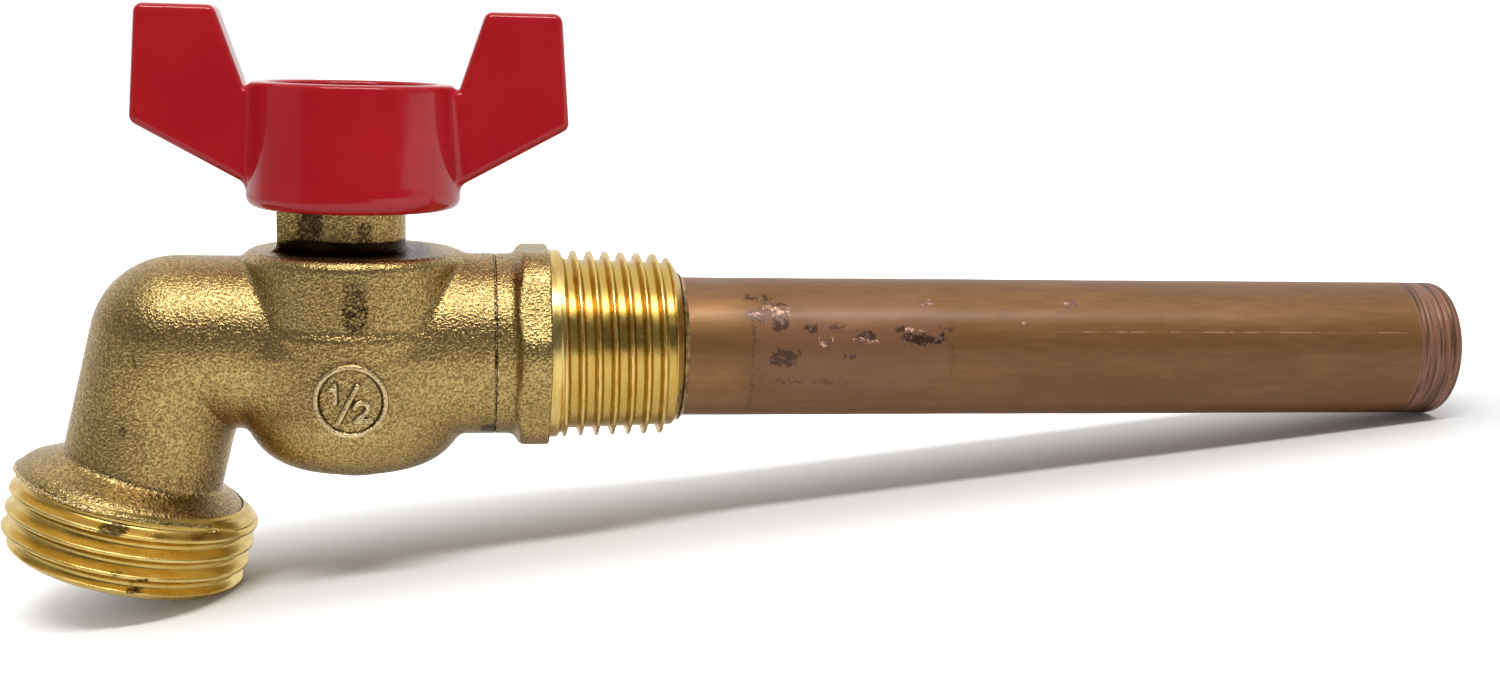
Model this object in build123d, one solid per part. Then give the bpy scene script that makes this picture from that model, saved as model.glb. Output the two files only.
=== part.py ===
from build123d import *
import os
from math import cos, pi, radians, sin, sqrt

# Quarter-turn hose bibb: a forged brass ball valve with a downturned hose outlet, a winged red
# handle, and a stub of copper tube brazed into its threaded inlet.
# Sizes are in millimetres. Shapes are drawn about the ball's centre, with +X towards the copper
# tube and +Z up the stem. Each piece is then moved so that the origin lies on the tube's axis,
# where the inlet thread meets its hexagon.

# Ball, seats and waterway
ball_diameter = 16.0
port_diameter = 10.0
ball_fit = 0.04
slot_width = 3.8
slot_depth = 2.0
chamber_gap = 0.4
seat_overhang = 0.15
seat_fit = 0.03
seat_stem_gap = 0.15
passage_diameter = 12.0

# Body casting
barrel_wall = 3.8
ridge_height = 2.2
ridge_step = 0.3
ridge_half_height = 0.9
roof_wall = 2.5
floor_wall = 6.3
floor_crown = 1.3
floor_rounding = 7.0
boss_rounding = 0.9
spout_wall = 3.6
spout_lift = 0.4
elbow_reach = 20.25
outlet_tilt = 13.35
leg_wall = 2.75
leg_blend = 9.0
bend_sections = 4
crease_rounding = 1.2

# Hose outlet: 3/4-11.5 garden hose thread, drawn as a plain cylinder at its major diameter
hose_thread_diameter = 26.99
hose_thread_length = 7.74
hose_thread_chamfer = 1.2
collar_low = 14.2
collar_height = 3.4
collar_rounding = 7.4
mouth_diameter = 18.0
mouth_depth = 8.0

# Inlet adapter: 1/2-14 pipe thread, drawn as a plain cylinder at its major diameter
joint_thread_step = 0.5
joint_neck_wall = 1.3
thread_gap = 0.05
nose_length = 7.3
nose_pilot_length = 1.5
joint_runout = 0.3
adapter_neck_length = 1.85
hexagon_across_flats = 21.8
hexagon_rounding = 2.0
hexagon_chamfer = 0.7
hexagon_length = 4.1
hexagon_turn = -4.0
inlet_thread_diameter = 21.34
inlet_thread_length = 14.86
inlet_thread_chamfer = 0.9
socket_depth = 12.7

# Copper tube and its brazed joint
tube_diameter = 15.875
tube_wall = 0.711
tube_length = 105.4
tube_rounding = 0.25
braze_gap = 0.08
braze_fillet = 0.5

# Stem, its seals and the gland nut
stem_diameter = 7.0
stem_fit = 0.05
stem_shoulder_step = 1.4
stem_shoulder_height = 1.1
shoulder_gap = 0.15
tang_fit = 0.1
tang_length = 8.4
thrust_washer_thickness = 0.6
ring_section = 1.0
ring_lift = 1.6
ring_fit = 0.02
groove_play = 0.15
stem_guide_length = 3.0
packing_width = 1.05
packing_height = 1.6
packing_count = 2
gland_wall = 1.0
gland_hex_across_flats = 11.0
gland_head_height = 2.6
gland_head_gap = 0.2
gland_bore_gap = 0.08
neck_height = 7.3
neck_rounding = 0.9

# Travel stop: a lug on the neck in a quarter-circle window of the handle
lug_width = 6.0
lug_reach = 2.6
lug_height = 6.9
stop_play = 0.06
window_gap = 0.6

# Handle
hub_lift = 4.7
hub_rim_diameter = 21.9
hub_skirt_diameter = 23.3
hub_rim_rounding = 0.5
hub_skirt_rounding = 1.2
skirt_height = 1.9
gland_clearance = 0.45
web_gap = 0.5
web_thickness = 2.5
cup_depth = 5.1
cup_wall = 2.0
cup_bevel = 0.5
wing_thickness = 5.4
wing_inner_top = 14.4
wing_inner_low = 11.45
wing_outer_top = 22.6
wing_outer_low = 23.5
wing_rise = 7.9
wing_sink = 0.6
wing_drop = 4.5
wing_root_drop = 10.9
wing_corner_radius = 1.0
wing_edge_radius = 0.8

# Stem end, nut and spring washer
stem_flats = 4.9
flats_fit = 0.05
stem_thread_diameter = 6.0
nut_thread_gap = 0.03
lock_washer_thickness = 0.9
lock_washer_width = 2.3
lock_washer_gap = 0.15
lock_washer_slit = 0.8
handle_nut_across_flats = 10.0
handle_nut_height = 3.2
stem_proud = 0.5


def corner_radius(across_flats):
    """A hexagon's radius over its corners, from its size across flats."""
    return across_flats / sqrt(3)


# Sizes worked out from those above
ball_radius = ball_diameter / 2
port_radius = port_diameter / 2
chamber_radius = ball_radius + chamber_gap
passage_radius = passage_diameter / 2
seat_back = ball_radius + seat_overhang
barrel_radius = chamber_radius + barrel_wall
boss_top = chamber_radius + roof_wall
bowl_bottom = -(chamber_radius + floor_wall)
spout_radius = passage_radius + spout_wall
leg_radius = passage_radius + leg_wall
tilt = radians(outlet_tilt)
corner_inset = spout_radius - leg_radius
corner_back = (corner_inset + spout_lift * sin(tilt)) / cos(tilt)
corner_x = corner_back - elbow_reach
corner_station = -corner_back * sin(tilt) - spout_lift * cos(tilt)

joint_thread_radius = chamber_radius + joint_thread_step
joint_neck_radius = joint_thread_radius + joint_neck_wall
seam_x = seat_back + nose_length
hexagon_start = seam_x + adapter_neck_length
shoulder_x = hexagon_start + hexagon_length
inlet_thread_radius = inlet_thread_diameter / 2
inlet_end = shoulder_x + inlet_thread_length
socket_stop = inlet_end - socket_depth
tube_radius = tube_diameter / 2
socket_radius = tube_radius + braze_gap

hose_thread_radius = hose_thread_diameter / 2
hose_thread_start = collar_low + collar_height
outlet_end = hose_thread_start + hose_thread_length
mouth_radius = mouth_diameter / 2

stem_radius = stem_diameter / 2
stem_bore_radius = stem_radius + stem_fit
stem_shoulder_radius = stem_radius + stem_shoulder_step
seat_front = stem_shoulder_radius + seat_stem_gap
shoulder_low = sqrt(ball_radius ** 2 - (slot_width / 2) ** 2) + shoulder_gap
shoulder_high = shoulder_low + stem_shoulder_height
ceiling = shoulder_high + thrust_washer_thickness
packing_floor = ceiling + stem_guide_length
packing_radius = stem_bore_radius + packing_width
packing_top = packing_floor + packing_count * packing_height
neck_radius = packing_radius + gland_wall
neck_top = boss_top + neck_height
gland_head_low = neck_top + gland_head_gap
gland_head_high = gland_head_low + gland_head_height
lug_tip = neck_radius + lug_reach

hub_bottom = boss_top + hub_lift
web_bottom = gland_head_high + web_gap
cup_floor = web_bottom + web_thickness
rim_z = cup_floor + cup_depth
hub_rim_radius = hub_rim_diameter / 2
hub_skirt_radius = hub_skirt_diameter / 2
hub_bore_radius = corner_radius(gland_hex_across_flats) + gland_clearance
cup_radius = hub_rim_radius - cup_wall
stem_thread_radius = stem_thread_diameter / 2
nut_low = cup_floor + lock_washer_thickness
nut_high = nut_low + handle_nut_height
stem_top = nut_high + stem_proud

# The hose outlet's own frame: its origin is the elbow, and its Z runs down the outlet
outlet_across = (cos(tilt), 0, -sin(tilt))
outlet_down = (-sin(tilt), 0, -cos(tilt))
OUTLET = Plane(origin=(-elbow_reach, 0, 0), x_dir=outlet_across, z_dir=outlet_down)


def turned(outline, axis=Axis.Z):
    """A solid of revolution from (x, z) points on one side of its axis."""
    face = make_face(Plane.XZ * Polyline(*outline, close=True))
    return revolve(face, axis)


def rod(radius, start, end, axis=Axis.Z):
    """A round bar along Z or X from one station to another."""
    if axis == Axis.X:
        return turned([(start, 0), (start, radius), (end, radius), (end, 0)], axis)
    return turned([(0, start), (radius, start), (radius, end), (0, end)], axis)


def ring(inner, outer, start, end, axis=Axis.Z):
    """A plain ring along Z or X from one station to another."""
    if axis == Axis.X:
        return turned([(start, inner), (start, outer), (end, outer), (end, inner)], axis)
    return turned([(inner, start), (outer, start), (outer, end), (inner, end)], axis)


def hexagon(across_flats, start, end, axis=Axis.Z, turn=0.0):
    """A hexagonal bar along Z or X."""
    plane = Plane.YZ if axis == Axis.X else Plane.XY
    face = RegularPolygon(across_flats / 2, 6, major_radius=False)
    return extrude(plane.offset(start) * Rot(0, 0, turn) * face, end - start)


def barrel():
    """The upright barrel with its flat boss on top and its crowned, rounded floor."""
    outer = barrel_radius + ridge_step
    crown_edge = outer - floor_rounding
    floor_edge = bowl_bottom + floor_crown
    with BuildPart() as part:
        with BuildSketch(Plane.XZ):
            with BuildLine():
                crown = ThreePointArc((0, bowl_bottom), (crown_edge / 2, bowl_bottom + floor_crown / 4),
                                      (crown_edge, floor_edge))
                corner = ThreePointArc(crown @ 1,
                                       (outer - floor_rounding * (1 - sin(radians(45))),
                                        floor_edge + floor_rounding * (1 - cos(radians(45)))),
                                       (outer, floor_edge + floor_rounding))
                low = Line(corner @ 1, (outer, ridge_height - ridge_half_height))
                ridge = Spline(low @ 1, (barrel_radius, ridge_height + ridge_half_height),
                               tangents=((0, 1), (0, 1)))
                wall = Line(ridge @ 1, (barrel_radius, boss_top - boss_rounding))
                edge = RadiusArc(wall @ 1, (barrel_radius - boss_rounding, boss_top), -boss_rounding)
                Polyline(edge @ 1, (0, boss_top), (0, bowl_bottom))
            make_face()
        revolve(axis=Axis.Z)
    return part.part


def spout():
    """The short tube, its ball-shaped corner, the bend and the leg down to the outlet."""
    centre = Pos(corner_x, 0, spout_lift)
    tube = centre * rod(spout_radius, 0, -corner_x, Axis.X)
    bend = loft([bend_section(step / bend_sections) for step in range(bend_sections + 1)])
    return tube + centre * Sphere(spout_radius) + bend + outlet_leg()


def outlet_leg():
    """The straight leg, the cast collar that swells to the thread, and the thread."""
    leg = Polyline((0, leg_blend), (leg_radius, leg_blend), (leg_radius, collar_low))
    collar = RadiusArc(leg @ 1, (hose_thread_radius, hose_thread_start), collar_rounding)
    thread = Polyline(
        collar @ 1,
        (hose_thread_radius, outlet_end - hose_thread_chamfer),
        (hose_thread_radius - hose_thread_chamfer, outlet_end),
        (0, outlet_end),
        (0, leg_blend))
    return OUTLET * revolve(make_face(Plane.XZ * (leg + collar + thread)), Axis.Z)


def bend_section(share):
    """A round section of the bend: a great circle of the corner at 0, the straight leg at 1."""
    inset = corner_inset * (1 + cos(pi * share)) / 2
    station = corner_station + share * (leg_blend - corner_station)
    return OUTLET * Pos(inset, 0, station) * Circle(leg_radius + inset)


def stem_neck():
    """The cast neck that holds the stem's seals, and the travel stop's lug at its side."""
    neck = turned([
        (0, boss_top - roof_wall / 2),
        (neck_radius + neck_rounding, boss_top - roof_wall / 2),
        (neck_radius + neck_rounding, boss_top),
        (neck_radius, boss_top + neck_rounding),
        (neck_radius, neck_top),
        (0, neck_top),
    ])
    low = boss_top - roof_wall / 2
    lug = Pos(-lug_tip / 2, 0, (low + boss_top + lug_height) / 2) * Box(
        lug_tip, lug_width, boss_top + lug_height - low)
    return neck + lug


def waterway():
    """All that is drilled and turned out of the body."""
    passage = rod(passage_radius, -elbow_reach, 0, Axis.X)
    elbow = Pos(-elbow_reach, 0, 0) * Sphere(passage_radius)
    drop = OUTLET * turned([
        (0, 0),
        (passage_radius, 0),
        (passage_radius, outlet_end - mouth_depth - (mouth_radius - passage_radius)),
        (mouth_radius, outlet_end - mouth_depth),
        (mouth_radius, outlet_end),
        (0, outlet_end),
    ])
    chamber = rod(chamber_radius, -seat_back, seam_x, Axis.X)
    joint = rod(joint_thread_radius, seat_back + nose_pilot_length - joint_runout, seam_x, Axis.X)
    stem_way = turned([
        (0, 0),
        (stem_shoulder_radius + stem_fit, 0),
        (stem_shoulder_radius + stem_fit, ceiling),
        (stem_bore_radius, ceiling),
        (stem_bore_radius, packing_floor),
        (packing_radius, packing_floor),
        (packing_radius, neck_top),
        (0, neck_top),
    ])
    return [passage, elbow, drop, chamber, joint, stem_way]


def valve_body():
    """The forging with its barrel, neck, spout and outlet, bored for the water and the stem."""
    trunk = barrel()
    inlet_neck = rod(joint_neck_radius, 0, seam_x, Axis.X)
    outlet_side = spout()
    body = trunk + inlet_neck + outlet_side
    body = fillet(new_edges(trunk, inlet_neck, outlet_side, combined=body), crease_rounding)
    body += stem_neck()
    for cut in waterway():
        body -= cut
    return body


def inlet_adapter():
    """The end piece: it clamps the seats, and holds the hexagon, the pipe thread and the socket."""
    nose = turned([
        (seat_back, 0),
        (seat_back, chamber_radius - thread_gap),
        (seat_back + nose_pilot_length, chamber_radius - thread_gap),
        (seat_back + nose_pilot_length, joint_thread_radius - thread_gap),
        (seam_x, joint_thread_radius - thread_gap),
        (seam_x, joint_neck_radius),
        (shoulder_x, joint_neck_radius),
        (shoulder_x, 0),
    ], Axis.X)
    corner = corner_radius(hexagon_across_flats)
    flange = hexagon(hexagon_across_flats, hexagon_start, shoulder_x, Axis.X, hexagon_turn)
    flange = fillet(flange.edges().filter_by(Axis.X), hexagon_rounding)
    flange &= turned([
        (hexagon_start, 0),
        (hexagon_start, joint_neck_radius),
        (hexagon_start + hexagon_chamfer, joint_neck_radius + 2 * hexagon_chamfer),
        (hexagon_start + 2 * hexagon_chamfer, corner),
        (shoulder_x, corner),
        (shoulder_x, 0),
    ], Axis.X)
    thread = turned([
        (shoulder_x, 0),
        (shoulder_x, inlet_thread_radius),
        (inlet_end - inlet_thread_chamfer, inlet_thread_radius),
        (inlet_end, inlet_thread_radius - inlet_thread_chamfer),
        (inlet_end, 0),
    ], Axis.X)
    bore = rod(passage_radius, seat_back, socket_stop, Axis.X)
    socket = rod(socket_radius, socket_stop, inlet_end, Axis.X)
    return nose + flange + thread - bore - socket


def copper_tube():
    """The stub of half-inch copper tube."""
    end = socket_stop + tube_length
    inner = tube_radius - tube_wall
    return turned([
        (socket_stop, inner),
        (socket_stop, tube_radius),
        (end - tube_rounding, tube_radius),
        (end, tube_radius - tube_rounding),
        (end, inner),
    ], Axis.X)


def braze_joint():
    """The filler between the tube and its socket, with a small fillet at the mouth."""
    return turned([
        (socket_stop, tube_radius),
        (socket_stop, socket_radius),
        (inlet_end, socket_radius),
        (inlet_end, tube_radius + braze_fillet),
        (inlet_end + braze_fillet, tube_radius),
    ], Axis.X)


def ball():
    """The ball with its port along X and the stem's slot across the port."""
    sphere = Sphere(ball_radius)
    port = rod(port_radius, -ball_radius, ball_radius, Axis.X)
    slot = Pos(0, 0, ball_radius - slot_depth / 2) * Box(slot_width, ball_diameter, slot_depth)
    return sphere - port - slot


def outlet_seat():
    """The seat ring on the spout's side, hollowed to the ball."""
    body = ring(port_radius, chamber_radius - seat_fit, -seat_back, -seat_front, Axis.X)
    return body - Sphere(ball_radius + ball_fit)


def stem():
    """The stem: tang, blow-out shoulder, seal groove, double-D end and threaded tip."""
    groove_centre = ceiling + ring_lift
    groove_half = (ring_section + groove_play) / 2
    groove_radius = stem_bore_radius - ring_fit - ring_section - ring_fit
    shaft = turned([
        (0, shoulder_low),
        (stem_shoulder_radius, shoulder_low),
        (stem_shoulder_radius, shoulder_high),
        (stem_radius, shoulder_high),
        (stem_radius, groove_centre - groove_half),
        (groove_radius, groove_centre - groove_half),
        (groove_radius, groove_centre + groove_half),
        (stem_radius, groove_centre + groove_half),
        (stem_radius, cup_floor - flats_fit),
        (stem_thread_radius, cup_floor - flats_fit),
        (stem_thread_radius, stem_top),
        (0, stem_top),
    ])
    beside = Box(
        stem_diameter, stem_diameter, stem_top - web_bottom,
        align=(Align.CENTER, Align.MIN, Align.MIN))
    for turn in (0, 180):
        shaft -= Rot(0, 0, turn) * Pos(0, stem_flats / 2, web_bottom) * beside
    tang_low = ball_radius - slot_depth + tang_fit
    tang = Pos(0, 0, (tang_low + shoulder_low) / 2) * Box(
        slot_width - 2 * tang_fit, tang_length, shoulder_low - tang_low)
    return shaft + tang


def thrust_washer():
    """The slippery washer between the stem's shoulder and the body."""
    return ring(stem_bore_radius, stem_shoulder_radius, shoulder_high, ceiling)


def stem_o_ring():
    """The rubber ring in the stem's groove."""
    centre_radius = stem_bore_radius - ring_fit - ring_section / 2
    return Pos(0, 0, ceiling + ring_lift) * Torus(centre_radius, ring_section / 2)


def packing_ring(number):
    """One ring of the stack under the gland nut, counted from below."""
    low = packing_floor + number * packing_height
    return ring(stem_radius + ring_fit, packing_radius - ring_fit, low, low + packing_height)


def gland_nut():
    """The hexagon-headed nut that screws into the neck and presses on the packing."""
    sleeve = rod(packing_radius - thread_gap, packing_top, gland_head_low)
    head = hexagon(gland_hex_across_flats, gland_head_low, gland_head_high)
    return sleeve + head - rod(stem_radius + gland_bore_gap, packing_top, gland_head_high)


def handle_outside():
    """The hub and the two upswept wings, before they are hollowed."""
    with BuildPart() as hub:
        with BuildSketch(Plane.XZ):
            with BuildLine():
                FilletPolyline(
                    (0, hub_bottom),
                    (hub_skirt_radius, hub_bottom),
                    (hub_skirt_radius, hub_bottom + skirt_height),
                    (hub_rim_radius, rim_z),
                    (0, rim_z),
                    radius=(hub_skirt_rounding, hub_rim_rounding, hub_rim_rounding))
                Line((0, rim_z), (0, hub_bottom))
            make_face()
        revolve(axis=Axis.Z)
    wing = wing_plate()
    return hub.part + wing + wing.mirror(Plane.YZ)


def wing_plate():
    """One wing: a plate with rounded corners and softened edges, rooted in the hub."""
    root = hub_rim_radius - cup_wall / 2
    low = rim_z - wing_root_drop
    slope = (wing_root_drop - wing_drop) / (wing_outer_low - hub_skirt_radius)
    top = rim_z - wing_sink
    outline = Polyline(
        (root, low - slope * (hub_skirt_radius - root)),
        (wing_outer_low, rim_z - wing_drop),
        (wing_outer_top, rim_z + wing_rise),
        (wing_inner_top, rim_z + wing_rise),
        (wing_inner_low, top),
        (root, top),
        close=True)
    face = make_face(outline)
    corners = [v for v in face.vertices() if v.X > root + wing_corner_radius]
    face = fillet(corners, wing_corner_radius)
    plate = extrude(Plane.XZ * face, wing_thickness / 2, both=True)
    sides = plate.faces().filter_by(Axis.Y)
    rims = [e for e in sides.edges() if (e @ 0.5).X > root + wing_edge_radius / 2]
    return fillet(rims, wing_edge_radius)


def handle():
    """The winged handle with its nut cup, double-D web, gland cavity and stop window."""
    cup = turned([
        (0, cup_floor),
        (cup_radius, cup_floor),
        (cup_radius, rim_z - cup_bevel),
        (cup_radius + cup_bevel, rim_z),
        (0, rim_z),
    ])
    cavity = rod(hub_bore_radius, hub_bottom, web_bottom)
    window_edge = lug_width / 2 + stop_play
    window_reach = lug_tip + window_gap
    window = Pos(window_edge, window_edge, hub_bottom) * Box(
        window_edge + window_reach, window_edge + window_reach, web_bottom - hub_bottom,
        align=(Align.MAX, Align.MAX, Align.MIN))
    window &= rod(window_reach, hub_bottom, web_bottom)
    way = rod(stem_radius + flats_fit, web_bottom, cup_floor)
    way &= Pos(0, 0, (web_bottom + cup_floor) / 2) * Box(
        2 * stem_diameter, stem_flats + 2 * flats_fit, web_thickness)
    return handle_outside() - cup - cavity - window - way


def lock_washer():
    """The split spring washer under the handle nut."""
    inner = stem_thread_radius + lock_washer_gap
    washer = ring(inner, inner + lock_washer_width, cup_floor, nut_low)
    slit = Pos(inner + lock_washer_width / 2, 0, (cup_floor + nut_low) / 2) * Box(
        2 * lock_washer_width, lock_washer_slit, lock_washer_thickness)
    return washer - slit


def handle_nut():
    """The thin nut in the handle's cup."""
    nut = hexagon(handle_nut_across_flats, nut_low, nut_high)
    corner = corner_radius(handle_nut_across_flats)
    chamfer = (corner - handle_nut_across_flats / 2) / 2
    nut &= turned([
        (0, nut_low),
        (corner, nut_low),
        (corner, nut_high - chamfer),
        (corner - 2 * chamfer, nut_high),
        (0, nut_high),
    ])
    return nut - rod(stem_thread_radius + nut_thread_gap, nut_low, nut_high)


pieces = {
    "valve_body": valve_body(),
    "inlet_adapter": inlet_adapter(),
    "copper_tube": copper_tube(),
    "braze_joint": braze_joint(),
    "ball": ball(),
    "outlet_seat": outlet_seat(),
    "inlet_seat": outlet_seat().mirror(Plane.YZ),
    "stem": stem(),
    "thrust_washer": thrust_washer(),
    "stem_o_ring": stem_o_ring(),
    "gland_nut": gland_nut(),
    "handle": handle(),
    "lock_washer": lock_washer(),
    "handle_nut": handle_nut(),
}
for number in range(packing_count):
    pieces[f"packing_ring_{number + 1}"] = packing_ring(number)

os.makedirs("parts", exist_ok=True)
for name, solid in pieces.items():
    export_step(Pos(-shoulder_x, 0, 0) * solid, f"parts/{name}.step")
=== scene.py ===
import bpy
import numpy as np
from mathutils import Matrix, Vector
from math import cos, hypot, pi, radians, sin


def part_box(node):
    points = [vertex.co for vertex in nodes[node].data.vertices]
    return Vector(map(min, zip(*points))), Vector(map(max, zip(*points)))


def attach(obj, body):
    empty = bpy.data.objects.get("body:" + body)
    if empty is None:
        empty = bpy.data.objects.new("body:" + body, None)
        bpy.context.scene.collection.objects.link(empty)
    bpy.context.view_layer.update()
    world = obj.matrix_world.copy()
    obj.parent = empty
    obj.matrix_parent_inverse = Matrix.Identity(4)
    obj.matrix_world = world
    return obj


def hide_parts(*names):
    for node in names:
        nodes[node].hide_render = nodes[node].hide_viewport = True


# Looks of the quarter-turn hose bibb. Shapes are drawn in millimetres about the ball's centre, with
# +X towards the copper tube and +Z up the stem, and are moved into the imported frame, in metres.
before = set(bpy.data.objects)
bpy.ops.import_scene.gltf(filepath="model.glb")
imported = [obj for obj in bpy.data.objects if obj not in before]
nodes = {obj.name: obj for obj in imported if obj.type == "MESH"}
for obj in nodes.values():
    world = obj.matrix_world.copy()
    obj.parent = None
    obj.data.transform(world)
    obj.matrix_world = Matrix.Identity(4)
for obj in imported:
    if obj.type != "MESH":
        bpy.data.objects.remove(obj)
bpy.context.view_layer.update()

MM = 0.001

ball_low, ball_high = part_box("ball")
BALL = (np.array(ball_low) + np.array(ball_high)) / 2 / MM
BALL[1:] = 0.0

# Body casting
barrel_radius = 12.15
ridge_step = 0.35
ridge_height = 2.8
ridge_half_height = 0.6
boss_top = 10.9
boss_rounding = 1.3
bowl_bottom = -14.7
floor_crown = 1.3
floor_rounding = 7.0
inlet_neck_radius = 10.2
inlet_lift = 0.3
seam_x = 15.45
seam_line_x = 15.25
seam_line_core = 0.09
seam_line_fade = 0.17
spout_radius = 9.6
spout_lift = 0.4
leg_radius = 8.8
leg_blend = 9.0
elbow_reach = 20.06
outlet_tilt = radians(13.9)
sharp_crease = 0.6
soft_crease = 1.9
soft_below = 2.6
soft_above = -8.5
soft_fade = 3.0
collar_start = 14.22
collar_slope = 0.53
collar_corner_radius = 12.13
collar_draft = 0.55
collar_rounding = 0.5
collar_fillet = 0.5
collar_shift = 0.47
collar_lean = 0.031
shoulder_start = 17.05
casting_edge = 0.25
sleeve_step = 0.05
neck_radius = 5.6
neck_root = boss_top - 3
neck_top = 18.2
neck_fillet = 0.9
lug_half_width = 3.0
lug_tip = 8.2
lug_top = 17.8

# Waterway
passage_radius = 6.0
chamber_radius = 8.4
joint_radius = 8.9
seat_back = 8.15
joint_start = 9.35
stem_bore_radius = 3.55
packing_radius = 4.6
packing_floor = 12.79
shoulder_bore_radius = 4.95
ceiling = 9.63

# How far a cut runs past the face that it opens, and a hidden piece into its neighbour
past = 2.0
hidden_end = 1.0

# Hose thread, 3/4-11.5
hose_radius = 13.495
hose_pitch = 25.4 / 11.5
hose_depth = 1.25
hose_flat = 0.14
hose_root = 0.9
hose_end = 25.34
hose_chamfer = 1.2
hose_crest = 17.9
hose_run_in = 16.3
run_out_length = 0.7
run_out_start = 16.5
run_out_rise = 0.2
run_out_radius = 12.0
run_out_slope = 1.5
run_out_cosine = 0.72
run_out_fade = 0.2
thread_fade = 0.8
mouth_radius = 9.0
mouth_depth = 8.0
mouth_chamfer = 0.3
sleeve_overlap = 0.1

# Adapter with its hexagon, and the 1/2-14 pipe thread
hexagon_start = 17.4
hexagon_end = 21.4
hexagon_across_flats = 21.8
hexagon_rounding = 2.6
hexagon_turn = radians(-1.5)
hexagon_bevel = 1.6
hexagon_bevel_edge = 0.3
hexagon_face_edge = 0.2
hexagon_fillet = 0.4
nose_gap = 0.05
screw_start = joint_start + 0.35
pipe_thread_radius = 10.67
pipe_taper = 1 / 32
pipe_pitch = 25.4 / 14
pipe_depth = 0.98
pipe_flat = 0.16
pipe_root = 0.62
pipe_end = 36.26
pipe_crest = 22.02
plain_band_end = 22.4
pipe_chamfer_start = 34.6
pipe_chamfer_slope = 1.2
socket_radius = 8.0175
socket_stop = 23.56
socket_gap = 0.05
lift_start = socket_radius + 0.1
lift_width = 1.2

# Handle
hub_low = 15.6
rim_z = 29.1
hub_rim_radius = 10.95
hub_skirt_radius = 11.65
hub_low_rounding = 1.2
skirt_height = 1.9
skirt_step = 0.08
skirt_step_height = 0.8
rim_rounding = 0.6
web_low = 21.5
cup_floor = 24.0
cup_radius = 8.95
cup_rounding = 0.5
hub_bore_radius = 6.8
hub_cut_edge = 0.3
stem_flats = 2.5
wing_root_depth = 1.0
wing_top_start = 11.45
wing_top_corner = 14.4
wing_outer_corner = 22.6
wing_tip = 23.5
wing_height = 7.9
wing_tip_drop = 4.5
wing_low_drop = 10.9
wing_half_thickness = 2.7
wing_edge = 0.8
wing_corner = 1.0
wing_fillet = 0.8
window_edge = 3.06
window_reach = 8.8
NICK = (5.0, 9.2, 29.2)
nick_radius = 0.5

# Copper tube, with the lip that a tube cutter leaves
tube_radius = 7.9375
tube_bore_radius = tube_radius - 0.711
tube_end = 128.96
tube_lip = 0.18
tube_lip_length = 0.6
tube_sink = 0.01
tube_unevenness = 0.015
slow_wave = 0.21
quick_wave = 0.37
bore_chamfer = 0.15
bore_chamfer_length = 0.2
smooth_until = 40.0
rough_from = 45.5

# Raised size mark: a ring round one half, on the front of the bowl
mark_x = -0.1
mark_z = -3.95
mark_radius = 3.72
mark_half_width = 0.25
mark_height = 0.36
mark_edge = 0.12
mark_pad_height = 0.03
mark_pad_radius = mark_radius + 1.1
mark_pad_fillet = 0.1
mark_pad_depth = 0.8
mark_sink_start = mark_pad_radius - 0.6
mark_sink_width = 0.5
mark_sink = 3 * mark_pad_height
MARK_STROKES = (
    ((-2.25, -2.7), (-1.75, -2.2), (-1.75, -4.1)),
    ((0.65, -2.24), (-1.49, -6.3)),
    ((0.35, -4.6), (0.55, -4.2), (1.1, -4.05), (1.7, -4.25), (1.8, -4.75), (1.3, -5.35), (0.4, -6.05),
     (2.05, -6.05)))

# Dark marks on the brass: the centre about the ball, the half sizes and how much is covered. On the casting
# some are stains and some are painted shade and a painted reflection, as noted line by line.
CASTING_STAINS_AND_SHADE = (
    # Painted reflection: a dark upright patch on the barrel's front, where it mirrors the dim surround in
    # front
    ((0.45, -12.1, 6.2), (1.7, 3.0, 3.6), 0.545), ((0.5, -12.1, 4.8), (2.0, 3.0, 2.2), 0.51),
    # Painted shade on the boss top under the handle
    ((0.0, 0.0, 10.9), (11.0, 11.0, 1.3), 0.6), ((0.0, 0.0, 11.0), (8.6, 8.6, 1.3), 1.1),
    # Painted shade on the lug and at the foot of the neck, under the handle's hub
    ((-4.6, -3.5, 14.5), (1.8, 4.0, 3.4), 0.6), ((1.3, -5.6, 13.0), (1.1, 2.0, 1.8), 0.55),
    # Stains: a dark spot near the seam's bottom and a small mark on the spout
    ((14.6, -5.4, -8.6), (1.1, 1.8, 1.1), 0.62), ((-22.7, -8.5, -0.4), (0.6, 1.0, 0.8), 0.5),
    # A small stain on the leg, then painted shade that darkens the collar and the leg's foot
    ((-24.2, -8.5, -8.0), (0.7, 1.0, 0.9), 0.5), ((-24.5, -5.0, -15.6), (14.0, 14.0, 3.6), 0.47))
HOSE_STAINS = (
    ((-24.8, -13.0, -17.5), (1.9, 1.5, 0.75), 0.62), ((-24.7, -13.2, -22.3), (0.8, 1.0, 0.5), 0.5),
    ((-22.1, -12.7, -23.4), (0.8, 1.0, 0.6), 0.66), ((-22.9, -12.8, -24.1), (1.1, 1.0, 0.7), 0.64))
PIPE_STAINS = (((36.2, -6.2, -5.3), (1.0, 3.4, 3.0), 0.5),)
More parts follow.
